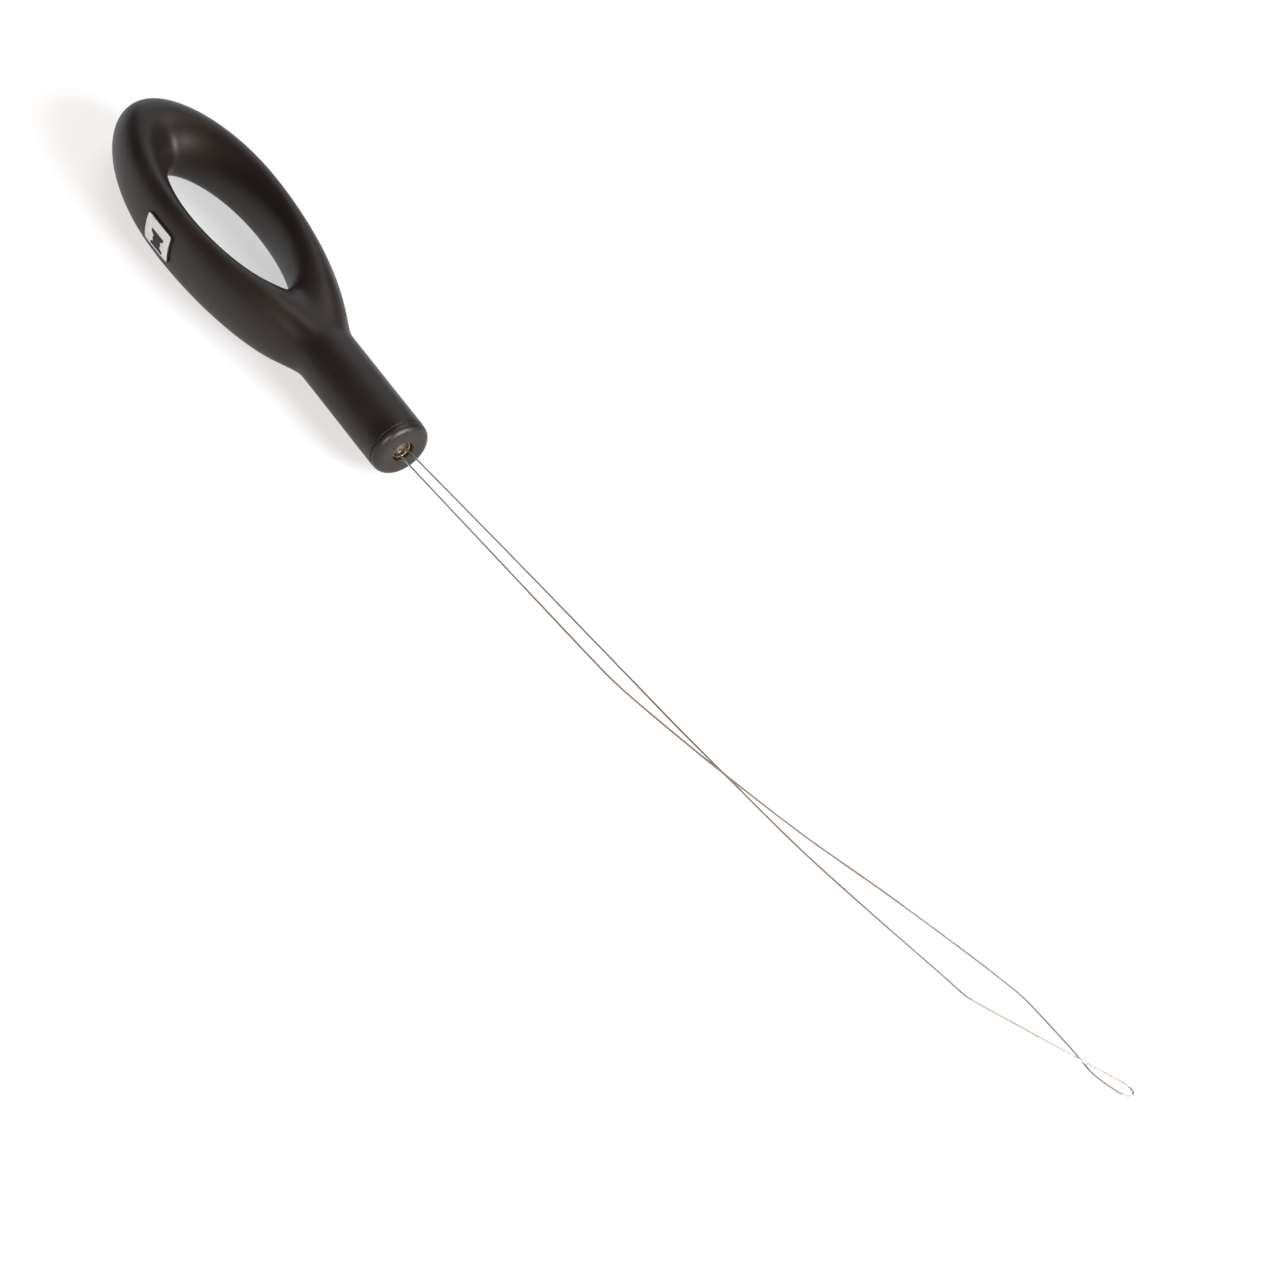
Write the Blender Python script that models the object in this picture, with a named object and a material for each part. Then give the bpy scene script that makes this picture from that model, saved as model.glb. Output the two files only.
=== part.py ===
"""Needle threader: a finger-ring handle that carries a long, springy wire loop.

The tool lies flat on its ring with the wire's tip towards +X and +Z up.
Driving sizes are in millimetres, in the tool's own axes: x = 0 is where the ring's
two arms meet the stem, y = 0 is the stem's axis and z = 0 is the plane of the wire.
"""

import math

import bmesh
import bpy
from mathutils import Matrix, Vector
from mathutils.geometry import interpolate_bezier

MM = 0.001

# Outside edge of the ring, seen from above
RIM_CENTRE_X = -23.0
RIM_HALF_WIDTH = 9.25
RIM_FAR_LENGTH = 20.8
RIM_STEM_LENGTH = 29.9
RIM_FIRST_TURN = math.radians(33.5)

# Finger hole, seen from above
HOLE_CENTRE_X = -19.35
HOLE_HALF_LENGTH = 13.7
HOLE_HALF_WIDTH = 4.9
HOLE_POINTEDNESS = 1.16

# Ring and stem sections
RING_HALF_HEIGHT = 4.9
VALLEY_CENTRE_X = -0.8
VALLEY_HALF_HEIGHT = 3.5
STEM_RADIUS = 4.0
STEM_ROOT_X = 4.4
STEM_ROOT_DIP = 0.45
STEM_RINGS_X = (5.9, 12.0, 17.5)
SKIN_END_X = 22.5
STATIONS = 24
COLUMNS = 8
STEM_SIDES = 12

# Skin, core, and the rounded cap whose spigot fills the core's bore
SKIN_THICKNESS = 0.7
FIT_GAP = 0.2
EDGE_SUPPORT = 0.2
CORE_BORE_RADIUS = 2.4
CORE_BORE_END_X = 10.9
CAP_RADIUS = 3.97
CAP_ROUNDING = 1.0
CAP_ROUNDING_STEPS = 4
CAP_EASE = 0.08
CAP_FACE_X = 23.7
SPIGOT_RADIUS = CORE_BORE_RADIUS - FIT_GAP
SPIGOT_START_X = 11.3
CAP_SIDES = 24

# What the cap's own bore holds
BORE_RADIUS = 1.4
FERRULE_OUTER_RADIUS = 1.25
FERRULE_INNER_RADIUS = 1.05
FERRULE_START_X = 12.0
FERRULE_MOUTH_X = 22.8
FERRULE_EASE = 0.06
FERRULE_SIDES = 20
BOND_RADIUS = 0.9
BOND_SIDES = 20
BOND_START_X = 12.3
BOND_END_X = 21.5
TAIL_OFFSET = 0.5
TAIL_BORE_RADIUS = 0.27
TAIL_BORE_SIDES = 10
TAIL_BORE_OVERRUN = 1.0
TAIL_START_X = 12.8
TAIL_END_X = 21.8

# Wire
WIRE_RADIUS = 0.125
WIRE_SIDES = 8
WIRE_SPACING = 3.2
WIRE_PIVOT_X = 22.3
WIRE_TIP_X = 144.0
WIRE_TIP_Y = 23.9

# The loop's route: out along one strand, round the eye and back along the other.
# The strands cross twice, one 0.4 above the other, and open into a diamond between.
LOOP_ROUTE = (
    (22.9, 0.66, 0.0),
    (26.0, 0.98, 0.0),
    (47.0, 3.30, 0.0),
    (68.9, 5.50, 0.1),
    (75.5, 6.10, 0.2),
    (80.5, 6.70, 0.2),
    (86.0, 7.45, 0.1),
    (97.9, 9.09, 0.0),
    (109.3, 11.20, 0.0),
    (120.5, 13.50, 0.0),
    (124.0, 14.20, 0.0),
    (126.0, 15.10, 0.0),
    (131.0, 17.60, 0.1),
    (136.2, 20.20, 0.2),
    (139.2, 21.75, 0.2),
    (141.9, 23.30, 0.1),
    (143.2, 23.80, 0.0),
    (143.9, 23.40, 0.0),
    (143.7, 22.75, 0.0),
    (142.6, 22.15, -0.1),
    (139.3, 21.20, -0.2),
    (136.0, 21.10, -0.2),
    (131.5, 20.75, -0.1),
    (127.2, 20.30, 0.0),
    (124.9, 19.80, 0.0),
    (120.0, 18.45, 0.0),
    (107.5, 14.55, 0.0),
    (95.8, 10.65, -0.1),
    (83.0, 7.15, -0.2),
    (79.0, 6.15, -0.2),
    (71.0, 4.20, -0.1),
    (66.5, 3.25, 0.0),
    (62.0, 2.75, 0.0),
    (46.0, 1.30, 0.0),
    (26.0, -0.48, 0.0),
    (22.9, -0.72, 0.0),
)

# Badge on the side of the -Y arm
BADGE_CENTRE_X = -21.3
BADGE_CENTRE_TURN = math.radians(2.0)
BADGE_HALF_LENGTH = 3.0
BADGE_HALF_TURN = math.radians(32.0)
BADGE_GAP = 0.2
BADGE_THICKNESS = 0.3
BADGE_STEPS = 6

# Points of the ring's surface that give way to the stem
STEM_PATCH = ((0, 0), (0, 1), (0, COLUMNS - 1))

# Subdivision draws a ring of n control points in by this factor, to its limit curve.
SECTION_FIT = (2 + math.cos(math.tau / COLUMNS)) / 3
STEM_FIT = (2 + math.cos(math.tau / STEM_SIDES)) / 3

# The object's origin is the middle of its footprint, on the surface it lies on.
RIM_FAR_X = RIM_CENTRE_X - RIM_FAR_LENGTH
ORIGIN = Vector(((RIM_FAR_X + WIRE_TIP_X) / 2, (WIRE_TIP_Y - RIM_HALF_WIDTH) / 2, -RING_HALF_HEIGHT))


def clear_scene():
    for old in list(bpy.data.objects):
        bpy.data.objects.remove(old, do_unlink=True)


def make_material(name, colour, roughness, metallic=0.0):
    material = bpy.data.materials.new(name)
    material.use_nodes = True
    shader = material.node_tree.nodes["Principled BSDF"]
    shader.inputs["Base Color"].default_value = (*colour, 1.0)
    shader.inputs["Roughness"].default_value = roughness
    shader.inputs["Metallic"].default_value = metallic
    return material


def make_frame(name, point):
    """An empty at a point of the tool's own axes."""
    empty = bpy.data.objects.new(name, None)
    empty.location = (Vector(point) - ORIGIN) * MM
    bpy.context.scene.collection.objects.link(empty)
    return empty


def add_object(name, data, frame, frame_point, material):
    """Link an object whose data is in the tool's axes, hung on a frame empty."""
    placed = bpy.data.objects.new(name, data)
    bpy.context.scene.collection.objects.link(placed)
    data.transform(Matrix.Translation(-Vector(frame_point) * MM))
    placed.parent = frame
    data.materials.append(material)
    return placed


def mesh_from(bm, name):
    bmesh.ops.recalc_face_normals(bm, faces=bm.faces)
    bmesh.ops.scale(bm, vec=(MM, MM, MM), verts=bm.verts)
    mesh = bpy.data.meshes.new(name)
    bm.to_mesh(mesh)
    bm.free()
    mesh.shade_smooth()
    mesh.set_sharp_from_angle(angle=math.radians(40.0))
    return mesh


def subdivide_once(piece):
    subdivision = piece.modifiers.new("smooth_form", "SUBSURF")
    subdivision.levels = 1
    subdivision.render_levels = 1


def rim_point(turn):
    length = RIM_STEM_LENGTH if math.cos(turn) > 0 else RIM_FAR_LENGTH
    return Vector((RIM_CENTRE_X + length * math.cos(turn), RIM_HALF_WIDTH * math.sin(turn), 0))


def hole_point(turn):
    width = HOLE_HALF_WIDTH * max(math.sin(turn), 0.0) ** HOLE_POINTEDNESS
    return Vector((HOLE_CENTRE_X + HOLE_HALF_LENGTH * math.cos(turn), width, 0))


def ring_section(station):
    """Centre, outward half axis and half height of the ring at a station.

    Station 0 is the web between the hole and the stem, half way round is the far end.
    """
    half_way = STATIONS // 2
    step = min(station, STATIONS - station)
    side = 1 if station <= half_way else -1
    if step == 0:
        hole_edge = hole_point(0)
        centre = Vector((VALLEY_CENTRE_X, 0, 0))
        return centre, centre - hole_edge, VALLEY_HALF_HEIGHT
    inner = hole_point(math.pi * step / half_way)
    share = (step - 1) / (half_way - 1)
    outer = rim_point(RIM_FIRST_TURN + (math.pi - RIM_FIRST_TURN) * share)
    inner.y *= side
    outer.y *= side
    return (outer + inner) / 2, (outer - inner) / 2, RING_HALF_HEIGHT


def ring_surface(bm, inset):
    """The ring's control surface, open where the stem grows out; returns that edge."""
    grid = {}
    for station in range(STATIONS):
        centre, half_axis, half_height = ring_section(station)
        out = half_axis.normalized() * (half_axis.length - inset) / SECTION_FIT
        up = Vector((0, 0, half_height - inset)) / SECTION_FIT
        for column in range(COLUMNS):
            turn = math.tau * column / COLUMNS
            if (station, column) in STEM_PATCH:
                continue
            grid[station, column] = bm.verts.new(centre + out * math.cos(turn) + up * math.sin(turn))
    for station in range(STATIONS):
        ahead = (station + 1) % STATIONS
        for column in range(COLUMNS):
            above = (column + 1) % COLUMNS
            corners = ((station, column), (ahead, column), (ahead, above), (station, above))
            if all(corner in grid for corner in corners):
                bm.faces.new([grid[corner] for corner in corners])
    last = STATIONS - 1
    edge = ((0, 2), (1, 2), (1, 1), (1, 0), (1, 7), (1, 6))
    edge += ((0, 6), (last, 6), (last, 7), (last, 0), (last, 1), (last, 2))
    return [grid[place] for place in edge]


def stem_ring(bm, x, radius, dip=0.0):
    """A ring of points round the stem, counted from the top towards +Y.

    A dip lowers its top and bottom, where the valley between the arms runs out.
    """
    ring = []
    for side in range(STEM_SIDES):
        turn = math.tau * side / STEM_SIDES
        reach = radius / STEM_FIT
        height = reach - dip if side % (STEM_SIDES // 2) == 0 else reach
        ring.append(bm.verts.new((x, reach * math.sin(turn), height * math.cos(turn))))
    return ring


def stem_rings(bm, radius):
    """The stem's rings from its root in the ring to short of its end."""
    root = stem_ring(bm, STEM_ROOT_X, radius, STEM_ROOT_DIP)
    return [root] + [stem_ring(bm, x, radius) for x in STEM_RINGS_X]


def join_rings(bm, rings):
    for first, second in zip(rings, rings[1:]):
        for side in range(len(first)):
            after = (side + 1) % len(first)
            bm.faces.new((first[side], first[after], second[after], second[side]))


def make_grip_skin(frame):
    """Soft moulded skin over the whole handle, open only at the stem's end."""
    bm = bmesh.new()
    cavity = STEM_RADIUS - SKIN_THICKNESS
    outside = stem_rings(bm, STEM_RADIUS)
    inside = stem_rings(bm, cavity)
    support_x = SKIN_END_X - EDGE_SUPPORT
    lip = [stem_ring(bm, support_x, STEM_RADIUS), stem_ring(bm, SKIN_END_X, STEM_RADIUS)]
    lip += [stem_ring(bm, SKIN_END_X, cavity), stem_ring(bm, support_x, cavity)]
    rings = [ring_surface(bm, 0)] + outside + lip + inside[::-1] + [ring_surface(bm, SKIN_THICKNESS)]
    join_rings(bm, rings)
    rubber = make_material("soft_touch_rubber", (0.030, 0.027, 0.025), 0.55)
    subdivide_once(add_object("grip_skin", mesh_from(bm, "grip_skin"), frame, (0, 0, 0), rubber))


def make_handle_core(frame):
    """Rigid ring and stem inside the skin, with a blind bore in the stem's end."""
    bm = bmesh.new()
    radius = STEM_RADIUS - SKIN_THICKNESS - FIT_GAP
    inner = CORE_BORE_RADIUS
    support_x = SKIN_END_X - EDGE_SUPPORT
    rings = [ring_surface(bm, SKIN_THICKNESS + FIT_GAP)] + stem_rings(bm, radius)
    rings += [stem_ring(bm, support_x, radius)]
    rings += [stem_ring(bm, SKIN_END_X, face_radius) for face_radius in (radius, inner)]
    rings += [stem_ring(bm, x, inner) for x in (support_x, CORE_BORE_END_X + EDGE_SUPPORT, CORE_BORE_END_X)]
    join_rings(bm, rings)
    bm.faces.new(rings[-1])
    nylon = make_material("moulded_nylon", (0.024, 0.022, 0.021), 0.42)
    subdivide_once(add_object("handle_core", mesh_from(bm, "handle_core"), frame, (0, 0, 0), nylon))


def turned_mesh(name, profile, sides):
    """A closed (x, radius) outline turned once round the stem's axis."""
    bm = bmesh.new()
    corners = [bm.verts.new((x, 0, radius)) for x, radius in profile]
    edges = [bm.edges.new((corners[i], corners[i - 1])) for i in range(len(corners))]
    bmesh.ops.spin(bm, geom=corners + edges, cent=(0, 0, 0), axis=(1, 0, 0), angle=math.tau,
                   steps=sides, use_merge=True, use_duplicate=False)
    return mesh_from(bm, name)


def make_end_cap(frame):
    """Round-edged cap that closes the stem, with a bored spigot pressed into the core."""
    back_x = SKIN_END_X + FIT_GAP
    rounding_x = CAP_FACE_X - CAP_ROUNDING
    face_radius = CAP_RADIUS - CAP_ROUNDING
    profile = [(SPIGOT_START_X, BORE_RADIUS), (SPIGOT_START_X, SPIGOT_RADIUS), (back_x, SPIGOT_RADIUS)]
    profile += [(back_x, CAP_RADIUS - CAP_EASE), (back_x + CAP_EASE, CAP_RADIUS)]
    for step in range(1, CAP_ROUNDING_STEPS + 1):
        turn = math.pi / 2 * step / CAP_ROUNDING_STEPS
        x = rounding_x + CAP_ROUNDING * math.sin(turn)
        profile.append((x, face_radius + CAP_ROUNDING * math.cos(turn)))
    profile += [(CAP_FACE_X, BORE_RADIUS + CAP_EASE), (CAP_FACE_X - CAP_EASE, BORE_RADIUS)]
    nylon = make_material("turned_nylon", (0.028, 0.025, 0.023), 0.45)
    add_object("end_cap", turned_mesh("end_cap", profile, CAP_SIDES), frame, (0, 0, 0), nylon)


def make_ferrule(frame):
    """Brass tube in the cap's bore, its mouth eased."""
    profile = (
        (FERRULE_START_X, FERRULE_INNER_RADIUS),
        (FERRULE_START_X, FERRULE_OUTER_RADIUS),
        (FERRULE_MOUTH_X - FERRULE_EASE, FERRULE_OUTER_RADIUS),
        (FERRULE_MOUTH_X, FERRULE_OUTER_RADIUS - FERRULE_EASE),
        (FERRULE_MOUTH_X, FERRULE_INNER_RADIUS),
    )
    brass = make_material("brass", (0.62, 0.44, 0.19), 0.28, 1.0)
    add_object("ferrule", turned_mesh("ferrule", profile, FERRULE_SIDES), frame, (0, 0, 0), brass)


def rod_mesh(name, radius, start_x, end_x, y, sides):
    """A plain round rod along the stem's axis direction."""
    bm = bmesh.new()
    lie = Matrix.Translation(((start_x + end_x) / 2, y, 0)) @ Matrix.Rotation(math.pi / 2, 4, "Y")
    bmesh.ops.create_cone(bm, cap_ends=True, segments=sides, radius1=radius, radius2=radius,
                          depth=end_x - start_x, matrix=lie)
    return mesh_from(bm, name)


def make_bond_plug(frame):
    """Set resin that fills the ferrule round the two wire tails."""
    resin = make_material("set_resin", (0.36, 0.25, 0.11), 0.25)
    body = rod_mesh("bond_plug", BOND_RADIUS, BOND_START_X, BOND_END_X, 0, BOND_SIDES)
    plug = add_object("bond_plug", body, frame, (0, 0, 0), resin)
    for label, y in (("left", TAIL_OFFSET), ("right", -TAIL_OFFSET)):
        bore = rod_mesh("tail_bore", TAIL_BORE_RADIUS, TAIL_START_X - FIT_GAP,
                        BOND_END_X + TAIL_BORE_OVERRUN, y, TAIL_BORE_SIDES)
        cutter = add_object("tail_bore_" + label, bore, frame, (0, 0, 0), resin)
        cutter.hide_render = True
        cutter.display_type = "WIRE"
        cut = plug.modifiers.new("tail_bore_" + label, "BOOLEAN")
        cut.operation = "DIFFERENCE"
        cut.object = cutter


def make_wire_tails(frame, steel):
    """The wire's two ends, fixed in the resin."""
    for label, y in (("left", TAIL_OFFSET), ("right", -TAIL_OFFSET)):
        rod = rod_mesh("tail", WIRE_RADIUS, TAIL_START_X, TAIL_END_X, y, WIRE_SIDES)
        add_object("wire_tail_" + label, rod, frame, (0, 0, 0), steel)


def smooth_path(route, spacing):
    """Points about a spacing apart on one smooth curve through the route's points."""
    points = [Vector(place) for place in route]
    ends = [points[0] * 2 - points[1]] + points + [points[-1] * 2 - points[-2]]
    leans = [(ends[i + 2] - ends[i]).normalized() for i in range(len(points))]
    path = [points[0]]
    for i in range(len(points) - 1):
        reach = (points[i + 1] - points[i]).length
        handles = (points[i] + leans[i] * reach / 3, points[i + 1] - leans[i + 1] * reach / 3)
        count = max(2, round(reach / spacing) + 1)
        path += interpolate_bezier(points[i], *handles, points[i + 1], count)[1:]
    return path


def make_wire_loop(frame, frame_point, steel):
    path = smooth_path(LOOP_ROUTE, WIRE_SPACING)
    curve = bpy.data.curves.new("wire_loop", "CURVE")
    curve.dimensions = "3D"
    curve.bevel_depth = WIRE_RADIUS * MM
    curve.bevel_resolution = WIRE_SIDES // 4 - 1
    curve.use_fill_caps = True
    spline = curve.splines.new("POLY")
    spline.points.add(len(path) - 1)
    for point, place in zip(spline.points, path):
        point.co = (*(place * MM), 1.0)
    add_object("wire_loop", curve, frame, frame_point, steel)


def make_badge(frame):
    """Thin pad that follows the outside of the -Y arm."""
    bm = bmesh.new()
    rows = []
    for i in range(BADGE_STEPS + 1):
        x = BADGE_CENTRE_X + BADGE_HALF_LENGTH * (2 * i / BADGE_STEPS - 1)
        rim_length = RIM_STEM_LENGTH if x > RIM_CENTRE_X else RIM_FAR_LENGTH
        outer = rim_point(math.acos((x - RIM_CENTRE_X) / rim_length)).y
        inner = hole_point(math.acos((x - HOLE_CENTRE_X) / HOLE_HALF_LENGTH)).y
        out = (outer - inner) / 2 + BADGE_GAP
        up = RING_HALF_HEIGHT + BADGE_GAP
        row = []
        for j in range(BADGE_STEPS + 1):
            turn = BADGE_CENTRE_TURN + BADGE_HALF_TURN * (2 * j / BADGE_STEPS - 1)
            y = -(outer + inner) / 2 - out * math.cos(turn)
            row.append(bm.verts.new((x, y, up * math.sin(turn))))
        rows.append(row)
    for i in range(BADGE_STEPS):
        for j in range(BADGE_STEPS):
            bm.faces.new((rows[i][j], rows[i + 1][j], rows[i + 1][j + 1], rows[i][j + 1]))
    paper = make_material("printed_film", (0.78, 0.77, 0.74), 0.4)
    badge = add_object("badge", mesh_from(bm, "badge"), frame, (0, 0, 0), paper)
    film = badge.modifiers.new("film_thickness", "SOLIDIFY")
    film.thickness = BADGE_THICKNESS * MM
    film.offset = 1


def main():
    clear_scene()
    handle_frame = make_frame("handle_frame", (0, 0, 0))
    pivot = (WIRE_PIVOT_X, 0, 0)
    wire_frame = make_frame("wire_pivot", pivot)
    steel = make_material("spring_steel_wire", (0.55, 0.53, 0.52), 0.3, 1.0)
    make_grip_skin(handle_frame)
    make_handle_core(handle_frame)
    make_end_cap(handle_frame)
    make_ferrule(handle_frame)
    make_bond_plug(handle_frame)
    make_wire_tails(handle_frame, steel)
    make_badge(handle_frame)
    make_wire_loop(wire_frame, pivot, steel)


main()
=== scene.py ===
import bpy
import bmesh
import math
from mathutils import Matrix, Vector


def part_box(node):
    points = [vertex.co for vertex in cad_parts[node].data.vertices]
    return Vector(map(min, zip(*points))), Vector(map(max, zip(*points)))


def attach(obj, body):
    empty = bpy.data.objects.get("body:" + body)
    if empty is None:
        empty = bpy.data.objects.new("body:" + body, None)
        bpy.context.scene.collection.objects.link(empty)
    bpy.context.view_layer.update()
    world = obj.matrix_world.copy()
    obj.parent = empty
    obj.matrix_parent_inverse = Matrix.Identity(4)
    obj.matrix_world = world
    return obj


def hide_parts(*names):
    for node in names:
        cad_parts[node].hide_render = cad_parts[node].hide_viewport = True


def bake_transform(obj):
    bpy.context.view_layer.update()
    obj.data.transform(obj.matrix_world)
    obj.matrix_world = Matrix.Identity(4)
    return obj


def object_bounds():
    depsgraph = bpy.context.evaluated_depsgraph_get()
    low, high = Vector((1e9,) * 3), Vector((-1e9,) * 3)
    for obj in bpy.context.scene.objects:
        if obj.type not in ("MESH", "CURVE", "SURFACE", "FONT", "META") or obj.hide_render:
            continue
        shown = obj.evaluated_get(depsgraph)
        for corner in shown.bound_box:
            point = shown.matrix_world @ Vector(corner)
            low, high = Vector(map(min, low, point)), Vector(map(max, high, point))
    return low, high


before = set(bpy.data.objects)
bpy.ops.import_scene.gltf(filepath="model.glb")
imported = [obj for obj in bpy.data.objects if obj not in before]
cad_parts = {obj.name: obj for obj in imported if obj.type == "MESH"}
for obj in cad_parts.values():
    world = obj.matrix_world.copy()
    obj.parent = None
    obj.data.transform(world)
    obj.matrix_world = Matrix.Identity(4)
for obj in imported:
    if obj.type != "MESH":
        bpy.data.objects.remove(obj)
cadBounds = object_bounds()
mm = 0.001

# The tool's own axes: x = 0 where the ring's arms meet the stem, on the stem's centre line.
capFace = 23.7                                  # mm from there to the end cap's flat face
skinLow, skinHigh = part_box("grip_skin")
middle = (skinLow + skinHigh) / 2
zero = Vector((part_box("end_cap")[1].x - capFace * mm, middle.y, middle.z))


def place(x, y, z):
    return zero + Vector((x, y, z)) * mm


def clearSelection():
    if bpy.context.object and bpy.context.object.mode != "OBJECT":
        bpy.ops.object.mode_set(mode="OBJECT")
    bpy.ops.object.select_all(action="DESELECT")


def pick(piece):
    clearSelection()
    piece.select_set(True)
    bpy.context.view_layer.objects.active = piece


def applyModifier(piece, kind, **settings):
    modifier = piece.modifiers.new(kind.lower(), kind)
    for key, value in settings.items():
        setattr(modifier, key, value)
    pick(piece)
    bpy.ops.object.modifier_apply(modifier=modifier.name)


def faceOutwards(piece):
    pick(piece)
    bpy.ops.object.mode_set(mode="EDIT")
    bpy.ops.mesh.select_all(action="SELECT")
    bpy.ops.mesh.normals_make_consistent(inside=False)
    bpy.ops.object.mode_set(mode="OBJECT")


def finishPiece(piece, name, material, angle=35.0):
    # the place goes into the mesh, so patterns on Object coordinates stay put
    pick(piece)
    bpy.ops.object.transform_apply(location=True, rotation=True, scale=True)
    bpy.ops.object.shade_smooth_by_angle(angle=math.radians(angle))
    piece.name = name
    piece.data.materials.clear()
    piece.data.materials.append(material)


def linear(hexColour):
    values = [int(hexColour[i:i + 2], 16) / 255 for i in (1, 3, 5)]
    values = [v / 12.92 if v <= 0.04045 else ((v + 0.055) / 1.055) ** 2.4 for v in values]
    return (*values, 1.0)


def newMaterial(name, colour, roughness, metallic=0.0, extra=None):
    material = bpy.data.materials.new(name)
    material.use_nodes = True
    surface = material.node_tree.nodes["Principled BSDF"]
    values = {"Base Color": linear(colour), "Roughness": roughness, "Metallic": metallic, **(extra or {})}
    for socket, value in values.items():
        surface.inputs[socket].default_value = value
    return material


def addNode(material, kind, settings=None, links=None, feeds=None):
    # settings are node properties or input values, links are input: (node, output),
    # and feeds names the surface's input that this node's output goes to
    tree = material.node_tree
    node = tree.nodes.new(kind)
    for key, value in (settings or {}).items():
        if isinstance(key, str) and hasattr(node, key):
            setattr(node, key, value)
        else:
            node.inputs[key].default_value = value
    for key, (source, output) in (links or {}).items():
        tree.links.new(source.outputs[output], node.inputs[key])
    if feeds:
        socket, output = feeds
        tree.links.new(node.outputs[output], tree.nodes["Principled BSDF"].inputs[socket])
    return node


def varySurface(material, finish):
    # cloudy patches, their size in mm, carry the colour and the roughness between two values
    low, high = finish["spread"]
    colours = finish["colours"]
    rough = finish["rough"]
    coords = addNode(material, "ShaderNodeTexCoord")
    patches = addNode(material, "ShaderNodeTexNoise", {"Scale": 1 / (finish["patch"] * mm), "Detail": 4.0},
                      {"Vector": (coords, "Object")})
    share = addNode(material, "ShaderNodeMapRange", {"From Min": low, "From Max": high},
                    {"Value": (patches, "Fac")})
    mixInputs = {"data_type": "RGBA", 6: linear(colours[0]), 7: linear(colours[1])}
    addNode(material, "ShaderNodeMix", mixInputs, {0: (share, "Result")}, ("Base Color", 2))
    addNode(material, "ShaderNodeMapRange", {"To Min": rough[0], "To Max": rough[1]},
            {"Value": (share, "Result")}, ("Roughness", "Result"))
    return coords


def roughen(material, coords, finish):
    # fine grain, its width and depth in mm
    grain = addNode(material, "ShaderNodeTexNoise", {"Scale": 1 / (finish["grain"] * mm), "Detail": 3.0},
                    {"Vector": (coords, "Object")})
    bump = {"Strength": finish["grainStrength"], "Distance": finish["grainDepth"] * mm}
    addNode(material, "ShaderNodeBump", bump, {"Height": (grain, "Fac")}, ("Normal", "Normal"))


def makeSoftTouch():
    # soft-touch elastomer from a spark-eroded mould: warm black with a broad dull sheen, no hard glint
    touch = {"patch": 8.0, "spread": (0.35, 0.65), "colours": ("#181210", "#201916"), "rough": (0.4, 0.47),
             "grain": 0.22, "grainDepth": 0.01, "grainStrength": 0.5}
    material = newMaterial("softTouchElastomer", touch["colours"][0], 0.44, 0.0, {"IOR": 1.33})
    coords = varySurface(material, touch)
    roughen(material, coords, touch)
    return material


def makeNylon():
    # glass-filled nylon, moulded flat: a little greyer than the skin, with fine pale flecks of fibre
    nylon = {"patch": 0.3, "spread": (0.45, 0.75), "colours": ("#1c1714", "#2a2421"), "rough": (0.36, 0.46),
             "grain": 0.3, "grainDepth": 0.012, "grainStrength": 0.5}
    material = newMaterial("glassFilledNylon", nylon["colours"][0], 0.4, 0.0, {"IOR": 1.36})
    coords = varySurface(material, nylon)
    roughen(material, coords, nylon)
    return material


def makeBrass():
    # drawn brass tube, cut and left bare: warm yellow, with brown tarnish in patches
    brass = {"patch": 0.9, "spread": (0.4, 0.7), "colours": ("#a89877", "#5d4d38"), "rough": (0.22, 0.45)}
    material = newMaterial("drawnBrass", brass["colours"][0], 0.24, 1.0)
    varySurface(material, brass)
    return material


def makeResin():
    # set two-part resin: grey-brown, with a dulled gloss, slightly cloudy where it was stirred
    resin = {"patch": 0.6, "spread": (0.4, 0.7), "colours": ("#3a3026", "#7b6f58"), "rough": (0.3, 0.42)}
    coat = {"Coat Weight": 0.15, "Coat Roughness": 0.2}
    material = newMaterial("setResin", resin["colours"][0], 0.36, 0.0, coat)
    varySurface(material, resin)
    return material


def makeSpringSteel():
    # hard-drawn spring steel wire: grey metal with faint straw and brown heat stains along its length
    steel = {"patch": 16.0, "spread": (0.42, 0.6), "colours": ("#c2bfbd", "#a99488"), "rough": (0.3, 0.42)}
    material = newMaterial("drawnSpringSteel", steel["colours"][0], 0.35, 1.0)
    varySurface(material, steel)
    return material


def makeFilm(name, colours, rough):
    # screen-printed vinyl film: matt and even, with a slight orange peel that breaks the reflection
    film = {"patch": 1.0, "spread": (0.4, 0.7), "colours": colours, "rough": rough,
            "grain": 0.25, "grainDepth": 0.006, "grainStrength": 0.4}
    material = newMaterial(name, colours[0], rough[0], 0.0, {"IOR": 1.4})
    coords = varySurface(material, film)
    roughen(material, coords, film)
    return material


softTouch = makeSoftTouch()
nylon = makeNylon()
brass = makeBrass()
resin = makeResin()
springSteel = makeSpringSteel()
whiteFilm = makeFilm("printedFilmWhite", ("#c6c8c8", "#babcbc"), (0.38, 0.46))
blackFilm = makeFilm("printedFilmBlack", ("#141213", "#1f1b1b"), (0.6, 0.7))
print("materials ready")

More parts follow.
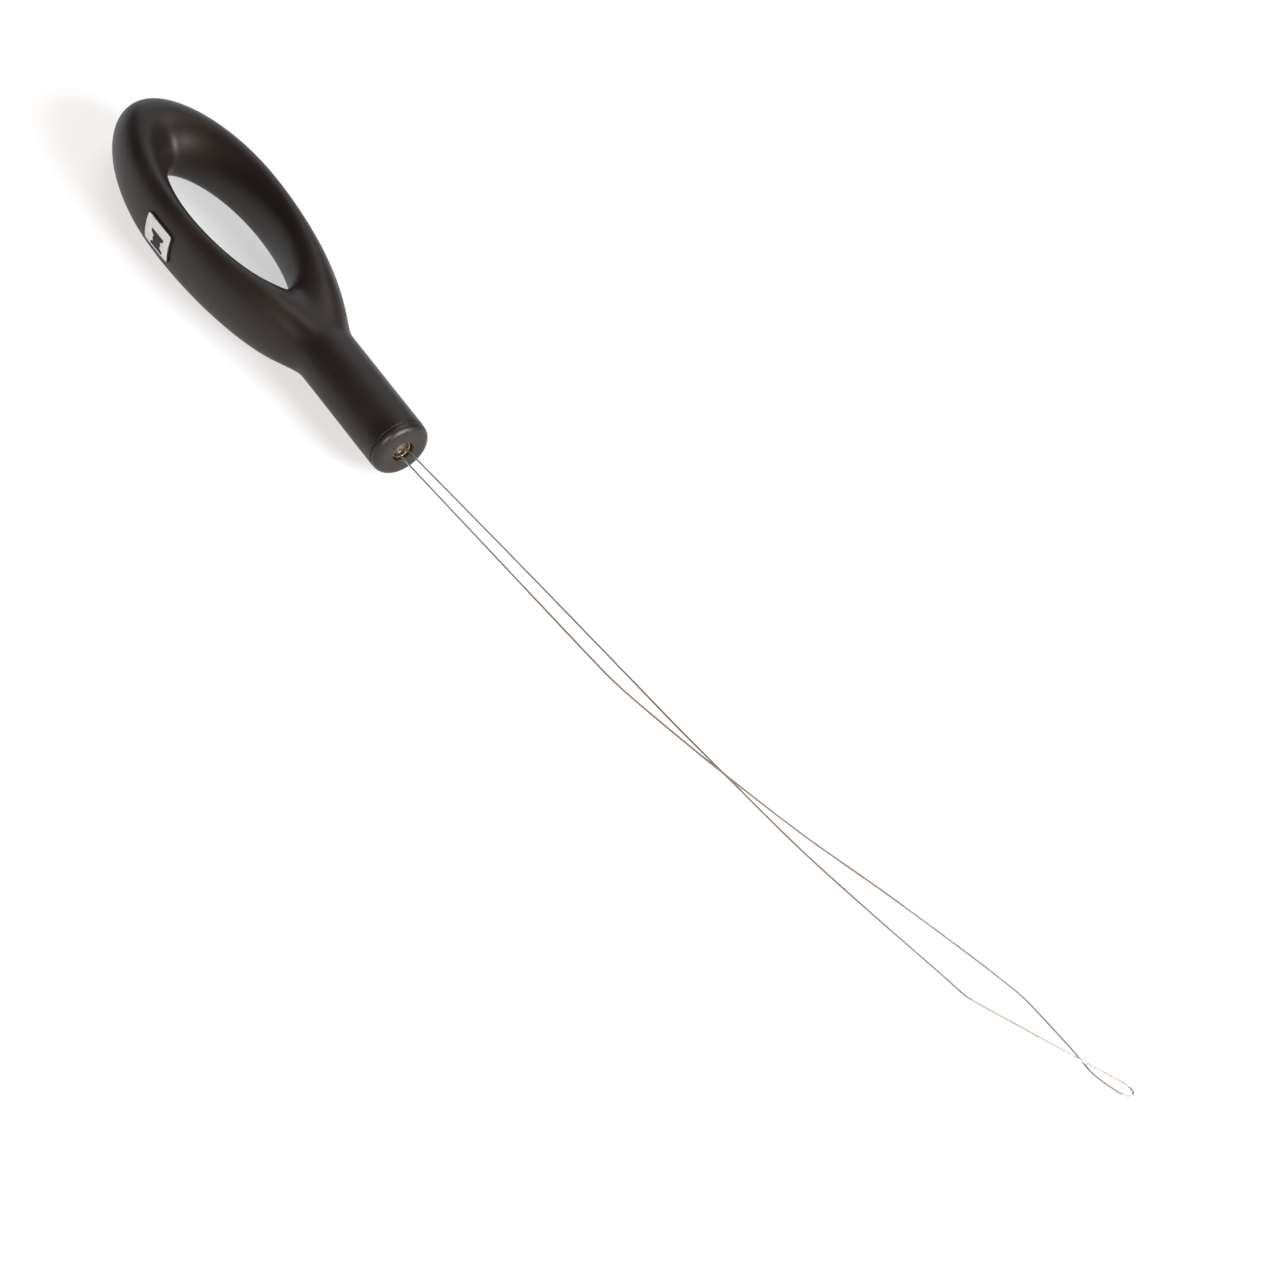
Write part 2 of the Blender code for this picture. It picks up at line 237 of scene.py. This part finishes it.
handle = {
    "rimCentre": -23.0, "rimHalfWidth": 9.25, "rimFar": 20.8, "rimNear": 29.9, "rimFirstTurn": 33.5,
    "holeCentre": -19.35, "holeHalfLength": 13.7, "holeHalfWidth": 4.9, "holePoint": 1.16,
    "halfHeight": 4.9, "valley": -0.8, "valleyHeight": 3.5, "rootDip": 0.45,
    "stations": 24, "columns": 8, "skin": 0.7, "coreGap": 0.2, "discShare": 0.5,
    # rings of the stem as (x, radius): the skin's end in a rounded lip, the core's turn in to line its bore
    "skinRings": ((4.4, 4.0), (5.9, 4.0), (12.0, 4.0), (17.5, 4.0), (21.6, 4.0), (22.2, 4.0),
                  (22.42, 3.98), (22.5, 3.88), (22.5, 3.3)),
    "coreRings": ((4.4, 3.1), (5.9, 3.1), (12.0, 3.1), (17.5, 3.1), (22.2, 3.1), (22.45, 3.1),
                  (22.45, 2.4), (22.2, 2.4), (17.5, 2.4), (11.1, 2.4), (10.9, 2.4), (10.9, 2.0)),
}


def limitFit(count):
    # subdivision draws a ring of this many control points in by this factor
    return (2 + math.cos(math.tau / count)) / 3


def rimPoint(turn):
    length = handle["rimNear"] if math.cos(turn) > 0 else handle["rimFar"]
    return Vector((handle["rimCentre"] + length * math.cos(turn), handle["rimHalfWidth"] * math.sin(turn), 0))


def holePoint(turn):
    width = handle["holeHalfWidth"] * max(math.sin(turn), 0.0) ** handle["holePoint"]
    return Vector((handle["holeCentre"] + handle["holeHalfLength"] * math.cos(turn), width, 0))


def ringSection(station):
    # centre, outward half axis and half height; station 0 is the web between hole and stem
    half = handle["stations"] // 2
    step = min(station, handle["stations"] - station)
    if step == 0:
        centre = Vector((handle["valley"], 0, 0))
        return centre, centre - holePoint(0), handle["valleyHeight"]
    first = math.radians(handle["rimFirstTurn"])
    outer = rimPoint(first + (math.pi - first) * (step - 1) / (half - 1))
    inner = holePoint(math.pi * step / half)
    if station > half:
        outer.y *= -1
        inner.y *= -1
    return (outer + inner) / 2, (outer - inner) / 2, handle["halfHeight"]


def ringPoint(station, column, inset):
    centre, halfAxis, halfHeight = ringSection(station)
    turn = math.tau * column / handle["columns"]
    out = halfAxis.normalized() * (halfAxis.length - inset) * math.cos(turn)
    up = Vector((0, 0, (halfHeight - inset) * math.sin(turn)))
    return place(*(centre + (out + up) / limitFit(handle["columns"])))


def shapeRing(mesh, x, radius, dip):
    # the edge of the selected patch becomes a round ring square to the stem, its middle a flat disc;
    # a dip lowers its top and bottom, where the valley between the arms runs out
    chosen = {face for face in mesh.faces if face.select}
    edge = {vert for face in chosen for line in face.edges
            if any(other not in chosen for other in line.link_faces) for vert in line.verts}
    edge = sorted(edge, key=lambda vert: math.atan2(vert.co.y - zero.y, vert.co.z - zero.z) % math.tau)
    top = min(range(len(edge)), key=lambda i: abs(edge[i].co.y - zero.y) - edge[i].co.z)
    reach = radius / limitFit(len(edge))
    for count, vert in enumerate(edge[top:] + edge[:top]):
        turn = math.tau * count / len(edge)
        height = reach - dip if count % (len(edge) // 2) == 0 else reach
        vert.co = place(x, reach * math.sin(turn), height * math.cos(turn))
    for vert in {vert for face in chosen for vert in face.verts} - set(edge):
        side = round((vert.co.z - zero.z) / (radius * mm))
        vert.co = place(x, 0, radius * handle["discShare"] * max(-1, min(1, side)))


def makeHandleCage(inset, rings):
    # a torus, its points moved to the ring's sections, then its stem side drawn out ring by ring
    clearSelection()
    stations = handle["stations"]
    columns = handle["columns"]
    bpy.ops.mesh.primitive_torus_add(major_segments=stations, minor_segments=columns,
                                     major_radius=1.0, minor_radius=0.25)
    cage = bpy.context.object
    bpy.ops.object.mode_set(mode="EDIT")
    mesh = bmesh.from_edit_mesh(cage.data)
    where = {}
    for vert in mesh.verts:
        station = round(math.atan2(vert.co.y, vert.co.x) / math.tau * stations) % stations
        reach = math.hypot(vert.co.x, vert.co.y) - 1.0
        where[vert] = (station, round(math.atan2(vert.co.z, reach) / math.tau * columns) % columns)
    for vert, (station, column) in where.items():
        vert.co = ringPoint(station, column, inset)
    for face in mesh.faces:
        spots = [where[vert] for vert in face.verts]
        onStemSide = all(column in (0, 1, 2, columns - 2, columns - 1) for station, column in spots)
        face.select_set(onStemSide and any(station == 0 for station, column in spots))
    for count, (x, radius) in enumerate(rings):
        bpy.ops.mesh.extrude_region_move()
        mesh = bmesh.from_edit_mesh(cage.data)
        shapeRing(mesh, x, radius, 0 if count else handle["rootDip"])
        bmesh.update_edit_mesh(cage.data)
    return cage


def makeGripSkin():
    skin = makeHandleCage(0.0, handle["skinRings"])
    bpy.ops.mesh.delete(type="FACE")            # the skin is open at the stem's end
    faceOutwards(skin)
    applyModifier(skin, "SUBSURF", levels=3, render_levels=3)
    applyModifier(skin, "SOLIDIFY", thickness=handle["skin"] * mm, offset=-1.0)
    finishPiece(skin, "gripSkin", softTouch)
    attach(skin, "handle")
    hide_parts("grip_skin")
    return skin


def makeHandleCore():
    # inside the skin; its bore takes the end cap's spigot
    core = makeHandleCage(handle["skin"] + handle["coreGap"], handle["coreRings"])
    faceOutwards(core)
    applyModifier(core, "SUBSURF", levels=2, render_levels=2)
    finishPiece(core, "handleCore", nylon)
    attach(core, "handle")
    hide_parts("handle_core")


gripSkin = makeGripSkin()
makeHandleCore()
print("handle made")


def roundOff(x, radius, size, start, end, steps=6):
    # points of a rounded edge about the centre (x, radius), its angles counted from outwards to +X
    turns = [math.radians(start + (end - start) * step / steps) for step in range(steps + 1)]
    return [(x + size * math.sin(turn), radius + size * math.cos(turn)) for turn in turns]


def turnPiece(profile, sides=64):
    # a ring drawn out and resized from point to point of an (x, radius) profile about the stem's axis
    clearSelection()
    x, radius = profile[0]
    bpy.ops.mesh.primitive_circle_add(vertices=sides, radius=radius * mm, location=place(x, 0, 0),
                                      rotation=(0, math.pi / 2, 0))
    piece = bpy.context.object
    bpy.ops.object.transform_apply(location=True, rotation=True, scale=True)
    bpy.ops.object.mode_set(mode="EDIT")
    bpy.ops.mesh.select_all(action="SELECT")
    for nextX, nextRadius in profile[1:]:
        bpy.ops.mesh.extrude_region_move(TRANSFORM_OT_translate={"value": ((nextX - x) * mm, 0, 0)})
        widen = nextRadius / radius
        bpy.ops.transform.resize(value=(1, widen, widen), center_override=place(nextX, 0, 0))
        x, radius = nextX, nextRadius
    return piece


def closeLoop():
    # joins the first ring to the last, for a piece with a bore right through
    bpy.ops.mesh.select_all(action="DESELECT")
    bpy.ops.mesh.select_mode(type="EDGE")
    bpy.ops.mesh.select_non_manifold()
    bpy.ops.mesh.bridge_edge_loops()
    bpy.ops.object.mode_set(mode="OBJECT")


cap = {"back": 22.57, "radius": 3.97, "rounding": 1.0, "ease": 0.12, "spigot": 2.2, "spigotStart": 11.3,
       "bore": 1.4, "mouth": 0.22}


def makeEndCap():
    # rounded rim, flat face with an eased mouth to the bore, and the spigot that fills the core
    edge = cap["rounding"]
    ease = cap["ease"]
    mouth = cap["mouth"]
    profile = [(cap["spigotStart"], cap["spigot"]), (cap["back"], cap["spigot"])]
    profile += roundOff(cap["back"] + ease, cap["radius"] - ease, ease, -90, 0, 4)
    profile += roundOff(capFace - edge, cap["radius"] - edge, edge, 8, 90, 8)
    profile += roundOff(capFace - mouth, cap["bore"] + mouth, mouth, 90, 180, 5)
    profile += [(cap["spigotStart"], cap["bore"])]
    piece = turnPiece(profile)
    closeLoop()
    faceOutwards(piece)
    finishPiece(piece, "endCap", nylon, angle=40.0)
    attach(piece, "handle")
    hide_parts("end_cap")


anchor = {"outer": 1.27, "wall": 0.3, "start": 12.0, "mouth": 23.3, "flare": 0.1, "flareLength": 0.4,
          "resin": 0.96, "resinStart": 12.3, "resinFront": 22.85, "resinHole": 0.02, "meniscus": 0.3,
          "resinShares": (0.92, 0.82, 0.7, 0.56, 0.4, 0.22, 0.02)}


def makeFerrule():
    # tube wall with an opened, eased mouth
    outer = anchor["outer"]
    inner = outer - anchor["wall"]
    mouth = anchor["mouth"]
    rim = outer + anchor["flare"] - anchor["wall"] / 2
    tubeEnd = mouth - anchor["flareLength"]
    profile = [(anchor["start"], inner), (anchor["start"], outer), (tubeEnd, outer)]
    profile += roundOff(mouth - anchor["wall"] / 2, rim, anchor["wall"] / 2, 0, 180, 8)
    profile += [(tubeEnd, inner)]
    piece = turnPiece(profile)
    closeLoop()
    faceOutwards(piece)
    finishPiece(piece, "ferrule", brass, angle=40.0)
    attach(piece, "handle")
    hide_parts("ferrule")


def makeResinPlug():
    # the resin climbs the ferrule's wall and sinks towards the middle; a hair-thin hole is left on its axis
    radius = anchor["resin"]
    front = anchor["resinFront"]
    start = anchor["resinStart"]
    profile = [(start, anchor["resinHole"]), (start, radius), (front, radius)]
    for share in anchor["resinShares"]:
        profile.append((front - anchor["meniscus"] * (1 - share) ** 0.5, radius * share))
    piece = turnPiece(profile, sides=40)
    closeLoop()
    faceOutwards(piece)
    finishPiece(piece, "bondPlug", resin, angle=60.0)
    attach(piece, "handle")
    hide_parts("bond_plug")


makeEndCap()
makeFerrule()
makeResinPlug()
print("anchor made")

wire = {
    "radius": 0.125, "bendStart": 22.3, "bendEnd": 85.0, "curveSteps": 14, "roundSteps": 3,
    # out of the resin, along one strand, round the eye and back; the strands cross twice
    "route": (
        (12.8, 0.5, 0), (17.3, 0.5, 0), (21.2, 0.52, 0),
        (22.9, 0.66, 0), (26, 0.98, 0), (47, 3.3, 0), (68.9, 5.5, 0.1), (75.5, 6.1, 0.2), (80.5, 6.7, 0.2),
        (86, 7.45, 0.1), (97.9, 9.09, 0), (109.3, 11.2, 0), (120.5, 13.5, 0), (124, 14.2, 0), (126, 15.1, 0),
        (131, 17.6, 0.1), (136.2, 20.2, 0.2), (139.2, 21.75, 0.2), (141.9, 23.3, 0.1), (143.2, 23.8, 0),
        (143.9, 23.4, 0), (143.7, 22.75, 0), (142.6, 22.15, -0.1), (139.3, 21.2, -0.2), (136, 21.1, -0.2),
        (131.5, 20.75, -0.1), (127.2, 20.3, 0), (124.9, 19.8, 0), (120, 18.45, 0), (107.5, 14.55, 0),
        (95.8, 10.65, -0.1), (83, 7.15, -0.2), (79, 6.15, -0.2), (71, 4.2, -0.1), (66.5, 3.25, 0),
        (62, 2.75, 0), (46, 1.3, 0), (26, -0.48, 0), (22.9, -0.72, 0),
        (21.2, -0.55, 0), (17.3, -0.5, 0), (12.8, -0.5, 0),
    ),
}


def makeThreaderWire():
    clearSelection()
    bpy.ops.curve.primitive_bezier_curve_add()
    piece = bpy.context.object
    curve = piece.data
    points = [place(*spot) for spot in wire["route"]]
    ends = [points[0] * 2 - points[1]] + points + [points[-1] * 2 - points[-2]]
    spline = curve.splines[0]
    spline.bezier_points.add(len(points) - len(spline.bezier_points))
    for i, point in enumerate(spline.bezier_points):
        # its handles reach a third of the way to the next points
        lean = (ends[i + 2] - ends[i]).normalized()
        point.handle_left_type = "FREE"
        point.handle_right_type = "FREE"
        point.co = points[i]
        point.handle_left = points[i] - lean * (points[i] - ends[i]).length / 3
        point.handle_right = points[i] + lean * (ends[i + 2] - points[i]).length / 3
    spline.resolution_u = wire["curveSteps"]
    curve.bevel_depth = wire["radius"] * mm
    curve.bevel_resolution = wire["roundSteps"]
    curve.use_fill_caps = True
    pick(piece)
    bpy.ops.object.convert(target="MESH")
    piece = bpy.context.object
    faceOutwards(piece)
    finishPiece(piece, "threaderWire", springSteel, angle=60.0)
    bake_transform(piece)
    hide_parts("wire_loop", "wire_tail_left", "wire_tail_right")


makeThreaderWire()
print("wire made")

badge = {"x": -21.3, "y": -9.7, "z": 0.27, "halfLength": 2.97, "halfHeight": 2.5, "corner": 0.9,
         "columns": 24, "rows": 18, "gap": 0.02, "thickness": 0.2, "edge": 0.05}

# the reel's steps are (rise in mm, width as a share of the step below)
reel = {"x": 0.2, "z": -1.65, "halfLength": 1.35, "halfHeight": 0.22, "gap": 0.005, "ink": 0.04, "cuts": 5,
        "steps": ((0.35, 0.55), (0.5, 1.25), (0.5, 0.8), (0.35, 1.82), (0.44, 1.0))}


def wrapOnto(piece, target, gap, thickness):
    # the flat drawing is laid on the curved surface and given its thickness outwards
    applyModifier(piece, "SHRINKWRAP", target=target, wrap_method="NEAREST_SURFACEPOINT",
                  wrap_mode="ABOVE_SURFACE", offset=gap * mm)
    applyModifier(piece, "SOLIDIFY", thickness=thickness * mm, offset=1.0)


def standBeside(piece, halfLength, halfHeight):
    # sizes a flat drawing, and stands it upright just outside the -Y arm, facing outwards
    piece.scale = (halfLength, halfHeight, 1)
    piece.rotation_euler = (math.pi / 2, 0, 0)
    bpy.ops.object.transform_apply(location=True, rotation=True, scale=True)
    bpy.ops.object.mode_set(mode="EDIT")
    return bmesh.from_edit_mesh(piece.data)


def makeBadge():
    # a fine grid, so that it can bend, with its corners drawn in to quarter circles
    clearSelection()
    centre = place(badge["x"], badge["y"], badge["z"])
    bpy.ops.mesh.primitive_grid_add(x_subdivisions=badge["columns"], y_subdivisions=badge["rows"],
                                    size=2 * mm, location=centre)
    pad = bpy.context.object
    mesh = standBeside(pad, badge["halfLength"], badge["halfHeight"])
    corner = badge["corner"]
    for vert in mesh.verts:
        off = (vert.co - centre) / mm
        across = (abs(off.x) - badge["halfLength"] + corner) / corner
        upward = (abs(off.z) - badge["halfHeight"] + corner) / corner
        if across > 0 and upward > 0:
            drawX = corner * across * (1 - (1 - upward * upward / 2) ** 0.5)
            drawZ = corner * upward * (1 - (1 - across * across / 2) ** 0.5)
            vert.co.x -= math.copysign(drawX * mm, off.x)
            vert.co.z -= math.copysign(drawZ * mm, off.z)
    border = [face.index for face in mesh.faces if any(line.is_boundary for line in face.edges)]
    bpy.ops.object.mode_set(mode="OBJECT")
    finishPiece(pad, "badge", whiteFilm)
    pad.data.materials.append(blackFilm)
    for index in border:
        pad.data.polygons[index].material_index = 1
    wrapOnto(pad, gripSkin, badge["gap"], badge["thickness"])
    applyModifier(pad, "BEVEL", width=badge["edge"] * mm, segments=2, limit_method="ANGLE",
                  angle_limit=math.radians(60))
    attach(pad, "handle")
    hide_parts("badge")
    return pad


def makeMark(pad):
    # a cotton reel: flange, waist and flange drawn out from one plane, as a plain printed sign
    clearSelection()
    bpy.ops.mesh.primitive_plane_add(
        size=2 * mm, location=place(badge["x"] + reel["x"], badge["y"], badge["z"] + reel["z"]))
    mark = bpy.context.object
    standBeside(mark, reel["halfLength"], reel["halfHeight"])
    for rise, width in reel["steps"]:
        bpy.ops.mesh.select_mode(type="EDGE")
        bpy.ops.mesh.select_all(action="DESELECT")
        mesh = bmesh.from_edit_mesh(mark.data)
        top = max(mesh.edges, key=lambda line: sum(vert.co.z for vert in line.verts))
        top.select_set(True)
        centre = (top.verts[0].co + top.verts[1].co) / 2
        bmesh.update_edit_mesh(mark.data)
        bpy.ops.mesh.extrude_region_move(TRANSFORM_OT_translate={"value": (0, 0, rise * mm)})
        bpy.ops.transform.resize(value=(width, 1, 1), center_override=centre)
    bpy.ops.mesh.select_all(action="SELECT")
    bpy.ops.mesh.subdivide(number_cuts=reel["cuts"])
    bpy.ops.mesh.normals_make_consistent(inside=False)
    bpy.ops.object.mode_set(mode="OBJECT")
    if mark.data.polygons[0].normal.y > 0:
        mark.data.flip_normals()
    wrapOnto(mark, pad, reel["gap"], reel["ink"])
    finishPiece(mark, "badgeMark", blackFilm)
    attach(mark, "handle")


makeMark(makeBadge())
print("badge made")

studio = {
    "floor": "#a8a8a8", "floorSize": 6.0, "floorRough": 0.9, "glow": "#f8f8f8", "glowStrength": 0.6,
    "world": "#fff9f4", "worldStrength": 0.1,
    "softboxes": {
        # name: direction from the tool, distance in m, side in m, power in W, colour
        "keySoftbox": ((0.85, 0.25, 0.42), 1.2, 0.6, 30.0, "#f8faff"),
        "sideSoftbox": ((0.48, -0.65, 0.45), 1.3, 0.5, 14.0, "#fff7f0"),
        "topSoftbox": ((-0.16, 0.33, 0.92), 1.5, 0.9, 8.0, "#fffcf8"),
        "backCard": ((-0.8, 0.5, 0.35), 1.3, 0.9, 3.5, "#eef3ff"),
    },
}


def makeFloor():
    clearSelection()
    bpy.ops.mesh.primitive_plane_add(size=studio["floorSize"], location=(0, 0, cadBounds[0].z))
    floor = bpy.context.object
    floor.name = "floor"
    glow = {"Emission Color": linear(studio["glow"]), "Emission Strength": studio["glowStrength"]}
    acrylic = newMaterial("backlitAcrylic", studio["floor"], studio["floorRough"], 0.0, glow)
    floor.data.materials.append(acrylic)


def makeLight():
    world = bpy.data.worlds.new("studio")
    bpy.context.scene.world = world
    world.use_nodes = True
    background = world.node_tree.nodes["Background"]
    background.inputs["Color"].default_value = linear(studio["world"])
    background.inputs["Strength"].default_value = studio["worldStrength"]
    for name, (direction, distance, side, power, colour) in studio["softboxes"].items():
        clearSelection()
        bpy.ops.object.light_add(type="AREA", location=Vector(direction).normalized() * distance)
        light = bpy.context.object
        light.name = name
        light.data.size = side
        light.data.energy = power
        light.data.color = linear(colour)[:3]
        light.rotation_euler = (-light.location).to_track_quat("-Z", "Y").to_euler()
    bpy.context.scene.view_settings.view_transform = "Standard"


def makeCamera():
    view = {"azimuth": 45.2, "elevation": 45.2, "roll": 15.6, "distance": 573.9, "lens": 134.93,
            "aim": (62.15, 9.96, 0.0)}          # degrees and mm, the aim in the tool's own axes
    turn = math.radians(view["azimuth"])
    rise = math.radians(view["elevation"])
    back = Vector((math.sin(turn) * math.cos(rise), -math.cos(turn) * math.cos(rise), math.sin(rise)))
    clearSelection()
    bpy.ops.object.camera_add(location=place(*view["aim"]) + back * view["distance"] * mm)
    camera = bpy.context.object
    camera.data.lens = view["lens"]
    camera.data.clip_start = 0.01
    camera.rotation_mode = "QUATERNION"
    level = (-back).to_track_quat("-Z", "Y")
    camera.rotation_quaternion = level @ Matrix.Rotation(math.radians(view["roll"]), 4, "Z").to_quaternion()
    bpy.context.scene.camera = camera


makeFloor()
makeLight()
makeCamera()
print("stage ready")
